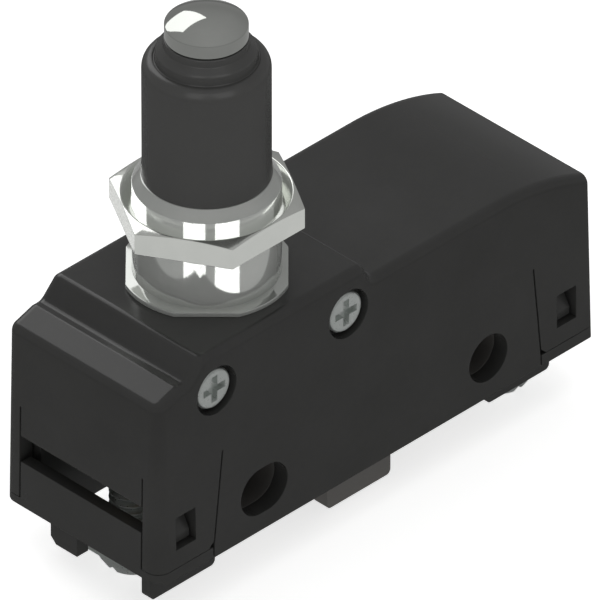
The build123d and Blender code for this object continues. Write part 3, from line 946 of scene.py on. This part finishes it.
@dataclass
class PlungerHead:
    """What moves under a finger: the domed button and the rubber boot under it."""

    cap_r: float = 3.37
    cap_low: float = 22.8
    cap_side_top: float = 24.0
    cap_top: float = 24.95
    cap_edge: float = 0.1
    stem_r: float = 1.5
    stem_length: float = 7.0
    boot_foot_r: float = 5.29
    boot_r: float = 5.19
    boot_low: float = 9.68
    boot_step: float = 20.75
    boot_top: float = 22.7
    bead_r: float = 4.2
    collar_r: float = 3.45
    neck_r: float = 3.1
    boot_wall: float = 1.3
    boot_travel: float = 5.5

    def build_button(self, finish: bpy.types.Material) -> bpy.types.Object:
        """Turn the button: a shallow dome over a short straight side.

        Args:
            finish: its polish.

        Returns:
            The finished piece.
        """
        crown = self.cap_top - self.cap_side_top
        radius = (self.cap_r**2 + crown**2) / (2 * crown)
        half = math.asin(self.cap_r / radius)
        dome = [
            (radius * math.sin(half * i / 14), self.cap_top - radius * (1 - math.cos(half * i / 14)))
            for i in range(15)
        ]
        stem_low = self.cap_low - self.stem_length
        bm = wire_profile(
            dome
            + [
                (self.cap_r, self.cap_low),
                (self.stem_r, self.cap_low),
                (self.stem_r, stem_low),
                (0.0, stem_low),
            ],
            {14: self.cap_edge, 15: 0.06},
            closed=False,
        )
        spin_full(bm, 128)
        piece = finish_piece(bm, "button", finish, ON_HEAD)
        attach(piece, Body.PLUNGER.value)
        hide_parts("plunger_cap")
        return piece

    def build_boot(self, finish: bpy.types.Material) -> bpy.types.Object:
        """Turn the boot: a flared foot, a round shoulder, a groove and a bead.

        Args:
            finish: its rubber.

        Returns:
            The finished piece.
        """
        inner = self.boot_r - self.boot_wall
        step = self.boot_step
        bm = wire_profile(
            [
                (inner, self.boot_low),
                (self.boot_foot_r, self.boot_low),
                (self.boot_r, self.boot_low + 1.2),
                (self.boot_r, step),
                (self.bead_r + 0.12, step),
                (self.bead_r + 0.02, step - 0.12),
                (self.bead_r - 0.08, step + 0.05),
                (self.bead_r - 0.1, step + 0.8),
                (self.collar_r + 0.03, step + 1.3),
                (self.collar_r, self.boot_top),
                (self.neck_r, self.boot_top),
                (self.neck_r, step - self.boot_wall),
                (inner, step - self.boot_wall - 0.6),
            ],
            {1: 0.08, 3: 0.98, 5: 0.1, 7: 0.3, 8: 0.15, 9: 0.12},
            closed=True,
        )
        rings = [e for e in bm.edges if e.calc_length() > 2.0 * MM]
        bmesh.ops.subdivide_edges(bm, edges=rings, cuts=7)
        spin_full(bm, 128)
        piece = finish_piece(bm, "boot", finish, ON_HEAD, 40.0)
        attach(piece, Body.HOUSING.value)
        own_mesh(piece)
        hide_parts("rubber_boot")
        return piece


@dataclass
class CoilSprings:
    """The return spring under the piston and the overtravel spring inside it."""

    return_r: float = 3.05
    return_wire: float = 0.6
    return_turns: float = 4.5
    return_low: float = -3.55
    return_high: float = 3.95
    return_travel: float = 5.5
    over_r: float = 1.75
    over_wire: float = 0.5
    over_turns: float = 6.0
    over_low: float = 5.05
    over_high: float = 11.95
    over_travel: float = 5.0

    def build(self, finish: bpy.types.Material) -> list[bpy.types.Object]:
        """Wind both springs.

        Args:
            finish: their wire.

        Returns:
            Both finished pieces.
        """
        lower = finish_piece(
            coil(self.return_r, self.return_wire, self.return_turns, self.return_low, self.return_high),
            "return_coil",
            finish,
            ON_HEAD,
        )
        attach(lower, Body.HOUSING.value)
        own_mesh(lower)
        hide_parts("return_spring")
        upper = finish_piece(
            coil(self.over_r, self.over_wire, self.over_turns, self.over_low, self.over_high),
            "overtravel_coil",
            finish,
            ON_HEAD,
        )
        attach(upper, Body.PLUNGER.value)
        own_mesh(upper)
        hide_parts("overtravel_spring")
        return [lower, upper]


@dataclass
class SideScrews:
    """The two cross-recess screws that hold the head's bracket to the housing."""

    spacing: float = 14.8
    height: float = -3.72
    head_r: float = 1.825
    head_thickness: float = 0.75
    face_y: float = -8.3
    recess_span: float = 2.6
    recess_width: float = 0.7
    recess_depth: float = 0.5
    recess_taper: float = 0.78
    shank_r: float = 1.0
    length: float = 11.0

    def _screw(self) -> bmesh.types.BMesh:
        """Make one screw along Z, with its face at Z = 0 and its shank below."""
        bm = wire_profile(
            [
                (0.0, 0.0),
                (self.head_r, 0.0),
                (self.head_r, -self.head_thickness),
                (self.shank_r, -self.head_thickness),
                (self.shank_r, -self.head_thickness - self.length),
                (0.0, -self.head_thickness - self.length),
            ],
            {1: 0.28, 4: 0.3},
            closed=False,
        )
        spin_full(bm, 96)
        arms = []
        for turn in (0.0, 90.0):
            arm = tapered_bar(self.recess_span, self.recess_width, self.recess_depth, self.recess_taper)
            bmesh.ops.rotate(
                arm,
                verts=arm.verts[:],
                cent=MIDDLE,
                matrix=Matrix.Rotation(math.radians(turn), 3, "Z"),
            )
            arms.append(arm)
        bm = cut(bm, arms)
        bmesh.ops.recalc_face_normals(bm, faces=bm.faces[:])
        return bm

    def build(self, finish: bpy.types.Material) -> list[bpy.types.Object]:
        """Make both screws and sink them in the housing's side.

        Args:
            finish: their plating.

        Returns:
            Both finished pieces.
        """
        pieces = []
        outward = Matrix.Rotation(math.radians(90.0), 4, "X")
        for side, name in ((-1, "left"), (1, "right")):
            spot = Vector((PLUNGER_X + side * self.spacing / 2, self.face_y, PLATFORM_Z + self.height))
            place = Matrix.Translation(spot * MM) @ outward
            piece = finish_piece(self._screw(), f"bracket_screw_{name}", finish, place, 25.0)
            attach(piece, Body.HOUSING.value)
            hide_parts(f"side_screw_{name}")
            pieces.append(piece)
        return pieces


@dataclass
class ClampScrews:
    """The three terminal screws, backed out, with rolled threads and heads facing down."""

    shank_r: float = 1.95
    core_r: float = 1.55
    pitch: float = 0.7
    head_r: float = 2.9
    face_r: float = 2.2
    head_height: float = 1.95
    seat: float = -22.3
    length: float = 11.3
    slot_width: float = 0.9
    slot_depth: float = 0.9
    dome_share: float = 0.55
    thread_gap: float = 0.3
    thread_root: float = 0.02
    thread_steps: int = 32
    spots: tuple[tuple[str, float, float], ...] = (
        ("common", -8.4, 0.0),
        ("closed", 29.9, -3.2),
        ("open", 29.9, 3.2),
    )

    def _head(self) -> bmesh.types.BMesh:
        """Make the head and the screw's core, with its face at the bottom."""
        face = self.seat - self.head_height
        top = self.seat + self.length
        bm = wire_profile(
            [
                (0.0, face),
                (self.face_r, face),
                (self.head_r, face + self.head_height * self.dome_share),
                (self.head_r, self.seat),
                (self.core_r, self.seat),
                (self.core_r, top),
                (0.0, top),
            ],
            {1: 0.4, 2: 0.4, 5: 0.3},
            closed=False,
        )
        spin_full(bm, 96)
        bars = []
        for turn in (0.0, 90.0):
            bar = tapered_bar(2 * self.head_r + 2, self.slot_width, self.slot_depth, 1.0)
            flip = Matrix.Rotation(math.radians(turn), 4, "Z") @ Matrix.Rotation(math.pi, 4, "X")
            drop = Matrix.Translation((0.0, 0.0, face * MM))
            bmesh.ops.transform(bar, matrix=drop @ flip, verts=bar.verts[:])
            bars.append(bar)
        bm = cut(bm, bars)
        bmesh.ops.recalc_face_normals(bm, faces=bm.faces[:])
        return bm

    def _thread(self) -> bmesh.types.BMesh:
        """Wind the thread's ridge up the core."""
        start = self.seat + self.thread_gap
        turns = int((self.length - 3 * self.thread_gap) / self.pitch) - 1
        root = self.core_r - self.thread_root
        ridge = [
            (root, start),
            (self.shank_r, start + self.pitch * 0.42),
            (self.shank_r, start + self.pitch * 0.52),
            (root, start + self.pitch * 0.94),
        ]
        bm = wire_profile(ridge, {}, closed=True)
        bmesh.ops.contextual_create(bm, geom=bm.edges[:])
        bmesh.ops.spin(
            bm,
            geom=bm.faces[:],
            cent=MIDDLE,
            axis=UP,
            dvec=(0.0, 0.0, self.pitch / self.thread_steps * MM),
            angle=turns * math.tau,
            steps=turns * self.thread_steps,
        )
        bmesh.ops.recalc_face_normals(bm, faces=bm.faces[:])
        return bm

    def build(self, finish: bpy.types.Material) -> list[bpy.types.Object]:
        """Make the three screws in their places under the housing.

        Args:
            finish: their plating.

        Returns:
            The finished pieces.
        """
        pieces = []
        for node, x, y in self.spots:
            bm = self._head()
            join(bm, self._thread())
            place = ON_HEAD @ Matrix.Translation(Vector((x, y, 0.0)) * MM)
            piece = finish_piece(bm, f"terminal_screw_{node}", finish, place, 25.0)
            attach(piece, Body.HOUSING.value)
            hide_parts(f"clamp_screw_{node}")
            pieces.append(piece)
        return pieces


@dataclass
class CarriedParts:
    """The pieces whose shape comes from the CAD model and only want a finish."""

    finishes: Mapping[MouldedFinish | MetalFinish, tuple[str, ...]]

    def dress(self) -> None:
        """Put each finish on its pieces."""
        for finish, names in self.finishes.items():
            material = finish.make()
            for name in names:
                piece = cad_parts[name]
                for slot in piece.material_slots:
                    slot.material = material
                LOG.info("dressed %s in %s", name, finish.name)


# ---- studio ----


@dataclass(frozen=True)
class LightCard:
    """A soft box that faces the switch from one side.

    A card with an audience lights that group of pieces alone.
    """

    name: str
    azimuth: float
    elevation: float
    width: float
    height: float
    radiance: float
    roll: float = 0.0
    distance: float = 1.0
    audience: Optional[Audience] = None
    mirrored: bool = True

    def place(self) -> bpy.types.Object:
        """Hang the card.

        Returns:
            The light.
        """
        lamp = bpy.data.lights.new(self.name, "AREA")
        lamp.shape = "RECTANGLE"
        lamp.size = self.width
        lamp.size_y = self.height
        lamp.energy = self.radiance * math.pi * self.width * self.height
        light = bpy.data.objects.new(self.name, lamp)
        turn, rise = math.radians(self.azimuth), math.radians(self.elevation)
        out = Vector(
            (math.cos(turn) * math.cos(rise), math.sin(turn) * math.cos(rise), math.sin(rise))
        )
        aim = (-out).to_track_quat("-Z", "Y").to_matrix().to_4x4()
        spin = Matrix.Rotation(math.radians(self.roll), 4, "Z")
        centre = Vector(on_axis(0.0))
        light.matrix_world = Matrix.Translation(centre + out * self.distance) @ aim @ spin
        light.visible_camera = False
        light.visible_glossy = self.mirrored
        bpy.context.scene.collection.objects.link(light)
        return light


@dataclass
class Studio:
    """The camera at the picture's angle, a pale floor and soft light."""

    lens: float = 1500.0
    azimuth: float = -44.8927
    elevation: float = 35.5249
    distance: float = 2.0155
    aim_right: float = -8.9526
    aim_up: float = 1.0671
    floor_r: float = 1.25
    floor_gap: float = 0.02
    floor_glow: float = 0.7
    room_tones: tuple[tuple[float, str], ...] = (
        (0.0, "#5A5A5A"),
        (0.38, "#5A5A5A"),
        (0.49, "#8F8F8F"),
        (0.62, "#8F8F8F"),
        (1.0, "#A8A8A8"),
    )
    cards: tuple[LightCard, ...] = (
        LightCard("window", 73.0, 37.5, 0.58, 0.59, 1.5, roll=12.0),
        LightCard("overhead", 225.0, 80.0, 1.2, 1.2, 0.6, distance=1.4, mirrored=False),
        LightCard("low_left", 90.0, -35.0, 0.95, 0.45, 2.0, audience=Audience.HEAD),
        LightCard("low_front", 206.3, -35.0, 0.5, 0.45, 2.2, audience=Audience.HEAD),
        LightCard("low_right", 256.5, -35.0, 0.57, 0.45, 2.2, audience=Audience.HEAD),
        LightCard("boot_front", 206.3, 34.0, 0.5, 0.9, 0.6, audience=Audience.BOOT),
        LightCard("boot_right", 256.5, 34.0, 0.57, 0.9, 0.6, audience=Audience.BOOT),
        LightCard("under", 225.0, -89.0, 6.0, 6.0, 0.24, distance=0.6, audience=Audience.PLATED),
        LightCard("nut_side", 75.0, -35.0, 0.7, 0.7, 0.17, audience=Audience.NUT),
        LightCard("nut_under", 225.0, -89.0, 6.0, 6.0, 0.5, distance=0.6, audience=Audience.NUT),
    )

    def set_camera(self) -> None:
        """Put the camera where the picture was taken from."""
        turn, rise = math.radians(self.azimuth), math.radians(self.elevation)
        back = Vector(
            (math.sin(turn) * math.cos(rise), -math.cos(turn) * math.cos(rise), math.sin(rise))
        )
        right = Vector(UP).cross(back).normalized()
        up = back.cross(right)
        centre = right * self.aim_right * MM + up * self.aim_up * MM
        lens = bpy.data.cameras.new("camera")
        lens.lens = self.lens
        lens.sensor_width = 36.0
        lens.clip_start = 0.1
        lens.clip_end = 20.0
        camera = bpy.data.objects.new("camera", lens)
        camera.location = centre + back * self.distance
        camera.rotation_euler = (-back).to_track_quat("-Z", "Y").to_euler()
        bpy.context.scene.collection.objects.link(camera)
        bpy.context.scene.camera = camera

    def lay_floor(self) -> None:
        """Lay a round pale floor just under the lowest point of the switch."""
        bm = bmesh.new()
        bmesh.ops.create_circle(bm, cap_ends=True, segments=96, radius=self.floor_r)
        material, tree, shader = blank_material("painted_floor")
        place = add(tree, "ShaderNodeTexCoord").outputs["Object"]
        mottle = add(
            tree,
            "ShaderNodeTexNoise",
            values={"Scale": per_metre(60.0), "Detail": 2.0},
            links={"Vector": place},
        )
        colour = add(
            tree,
            "ShaderNodeMix",
            fields={"data_type": "RGBA"},
            values={6: srgb("#F4F4F3"), 7: srgb("#F7F7F6")},
            links={0: mottle.outputs["Fac"]},
        )
        tree.links.new(colour.outputs[2], shader.inputs["Base Color"])
        shader.inputs["Roughness"].default_value = 0.9
        shader.inputs["Emission Color"].default_value = srgb("#FFFFFF")
        shader.inputs["Emission Strength"].default_value = self.floor_glow
        drop = Matrix.Translation((0.0, 0.0, (FLOOR_Z - self.floor_gap) * MM))
        floor = finish_piece(bm, "studio_floor", material, drop)
        floor.visible_glossy = False

    def paint_surroundings(self) -> None:
        """Surround the scene with a soft grey room, dark below and palest overhead."""
        world = bpy.data.worlds.new("studio_room")
        bpy.context.scene.world = world
        world.use_nodes = True
        tree = world.node_tree
        tree.nodes.clear()
        place = add(tree, "ShaderNodeTexCoord")
        parts = add(tree, "ShaderNodeSeparateXYZ", links={"Vector": place.outputs["Generated"]})
        height = add(
            tree,
            "ShaderNodeMapRange",
            values={"From Min": -1.0, "From Max": 1.0},
            links={"Value": parts.outputs["Z"]},
        )
        ramp = add(tree, "ShaderNodeValToRGB", links={"Fac": height.outputs["Result"]})
        for spot, tone in self.room_tones[1:-1]:
            ramp.color_ramp.elements.new(spot).color = srgb(tone)
        ramp.color_ramp.elements[0].color = srgb(self.room_tones[0][1])
        ramp.color_ramp.elements[-1].color = srgb(self.room_tones[-1][1])
        light = add(
            tree,
            "ShaderNodeBackground",
            values={"Strength": 1.0},
            links={"Color": ramp.outputs["Color"]},
        )
        add(tree, "ShaderNodeOutputWorld", links={"Surface": light.outputs["Background"]})
        bpy.context.scene.view_settings.view_transform = "Standard"

    def hang_cards(self, groups: Mapping[Audience, Sequence[bpy.types.Object]]) -> None:
        """Hang the light cards, some of which only one group of pieces sees.

        Args:
            groups: the pieces of each audience.
        """
        seats = {}
        for audience, pieces in groups.items():
            seats[audience] = bpy.data.collections.new(audience.value)
            for piece in pieces:
                seats[audience].objects.link(piece)
        for card in self.cards:
            light = card.place()
            if card.audience is not None:
                light.light_linking.receiver_collection = seats[card.audience]
                light.light_linking.blocker_collection = seats[card.audience]
            LOG.info("hung %s", card.name)


def main() -> None:
    """Build the switch's pieces, dress the rest and set the studio."""
    logging.basicConfig(level=logging.INFO, format="%(message)s")
    studio = Studio()
    studio.set_camera()
    nickel = BRIGHT_NICKEL.make()
    plunger = PlungerHead()
    zinc_plate = ZINC_PLATED_STEEL.make()
    head = MountingHead().build(nickel)
    nut = LockNut().build(SATIN_NICKEL.make())
    button = plunger.build_button(POLISHED_STAINLESS.make())
    boot = plunger.build_boot(NITRILE_RUBBER.make())
    side_screws = SideScrews().build(zinc_plate)
    clamp_screws = ClampScrews().build(zinc_plate)
    springs = CoilSprings().build(SPRING_STEEL.make())
    for piece in [head, nut, button, boot, *side_screws, *clamp_screws, *springs]:
        LOG.info("built %s with %d faces", piece.name, len(piece.data.polygons))
    CarriedParts(
        {
            HOUSING_PLASTIC: ("housing",),
            COVER_PLASTIC: ("terminal_cover_left", "terminal_cover_right"),
            BASE_PLASTIC_PAINTED_FILL: ("contact_base", "actuator_pin"),
            NITRILE_RUBBER: ("piston_seal",),
            DIE_CAST_ZINC: ("head_bracket",),
            POLISHED_STAINLESS: ("piston",),
            SPRING_STEEL: ("snap_blade",),
            FINE_SILVER: ("moving_contact", "closed_contact", "open_contact"),
            ROLLED_BRASS: ("blade_anchor", "common_terminal", "closed_terminal", "open_terminal"),
            ZINC_PLATED_STEEL: ("clamp_plate_common", "clamp_plate_closed", "clamp_plate_open"),
        }
    ).dress()
    studio.lay_floor()
    studio.paint_surroundings()
    plated = [head, button, *side_screws]
    studio.hang_cards(
        {
            Audience.HEAD: [head],
            Audience.PLATED: plated,
            Audience.NUT: [nut],
            Audience.BOOT: [boot],
        }
    )


if __name__ == "__main__":
    main()
